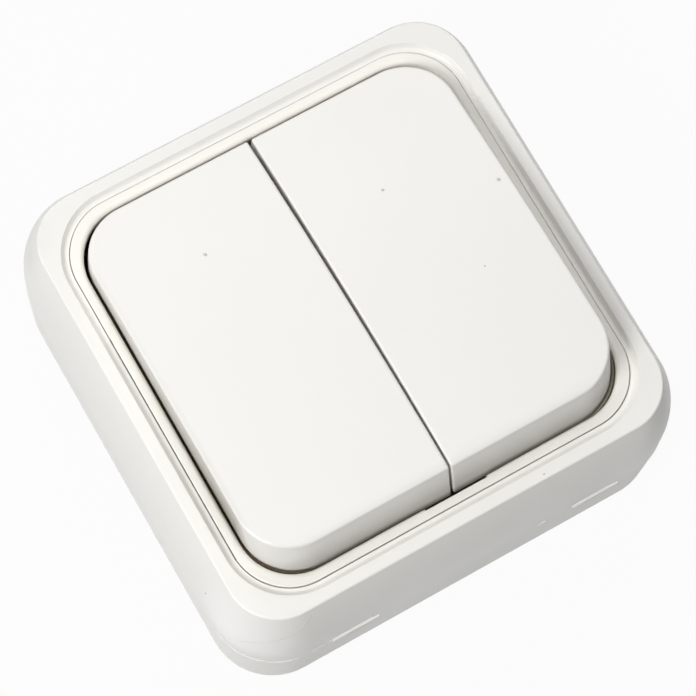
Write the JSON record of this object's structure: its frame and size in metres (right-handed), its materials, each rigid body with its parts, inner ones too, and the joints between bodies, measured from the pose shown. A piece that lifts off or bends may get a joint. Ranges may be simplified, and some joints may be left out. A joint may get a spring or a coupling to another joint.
{
  "type": "double light switch",
  "caption": "Surface-mounted light switch: rounded white case with a trim ring round crowned rockers that tilt side by side to work sprung see-saw contacts.",
  "frame": {"origin": "middle of the back face, on the wall plane", "axes": "+X across the two rockers, +Y up the wall along the split, +Z out of the wall"},
  "size_m": [0.0808, 0.0808, 0.039],
  "materials": {
    "case_plastic": "glossy moulded, warm white",
    "rocker_plastic": "glossy moulded, white",
    "ring_plastic": "glossy moulded, warm white",
    "block_plastic": "matt moulded, pale grey",
    "lever_plastic": "matt moulded, off-white",
    "brass": "stamped",
    "contact_silver": "bare silver alloy",
    "steel": "bright zinc plated"
  },
  "bodies": {
    "case": {"base_tray": "case_plastic", "cover": "case_plastic", "trim_ring": "ring_plastic", "mechanism_body": "block_plastic", "retaining_plate": "block_plastic", "live_busbar": "brass", "left_load_strip": "brass", "right_load_strip": "brass", "left_fixed_tip": "contact_silver", "right_fixed_tip": "contact_silver", "left_clamp": "steel", "live_clamp": "steel", "right_clamp": "steel", "terminal_screws": "steel", "mechanism_screws": "steel"},
    "left_key": {"left_rocker": "rocker_plastic", "left_actuator": "lever_plastic", "left_spring": "steel"},
    "left_pusher": {"left_plunger": "lever_plastic"},
    "left_seesaw": {"left_contact": "brass", "left_moving_tip": "contact_silver"},
    "right_key": {"right_rocker": "rocker_plastic", "right_actuator": "lever_plastic", "right_spring": "steel"},
    "right_pusher": {"right_plunger": "lever_plastic"},
    "right_seesaw": {"right_contact": "brass", "right_moving_tip": "contact_silver"}
  },
  "joints": [
    {"name": "left_rocker_tilt", "type": "hinge", "parent": "case", "child": "left_key", "pos_m": [-0.01615, 0, 0.025], "axis": [1, 0, 0], "range_deg": [0, 9]},
    {"name": "left_contact_tilt", "type": "hinge", "parent": "case", "child": "left_seesaw", "pos_m": [-0.01615, 0, 0.01], "axis": [1, 0, 0], "range_deg": [-10, 0]},
    {"name": "left_plunger_slide", "type": "slide", "parent": "left_key", "child": "left_pusher", "axis": [0, 0.0785, 0.9969], "range_m": [0, 0.0006], "stiffness_N_per_m": 800, "springref_m": -0.001, "deforming": ["left_spring"]},
    {"name": "right_rocker_tilt", "type": "hinge", "parent": "case", "child": "right_key", "pos_m": [0.01615, 0, 0.025], "axis": [1, 0, 0], "range_deg": [0, 9]},
    {"name": "right_contact_tilt", "type": "hinge", "parent": "case", "child": "right_seesaw", "pos_m": [0.01615, 0, 0.01], "axis": [1, 0, 0], "range_deg": [-10, 0]},
    {"name": "right_plunger_slide", "type": "slide", "parent": "right_key", "child": "right_pusher", "axis": [0, 0.0785, 0.9969], "range_m": [0, 0.0006], "stiffness_N_per_m": 800, "springref_m": -0.001, "deforming": ["right_spring"]}
  ],
  "couplings": [
    {"joint": "left_contact_tilt", "follows": "left_rocker_tilt", "ratio": -1.1111},
    {"joint": "right_contact_tilt", "follows": "right_rocker_tilt", "ratio": -1.1111}
  ]
}
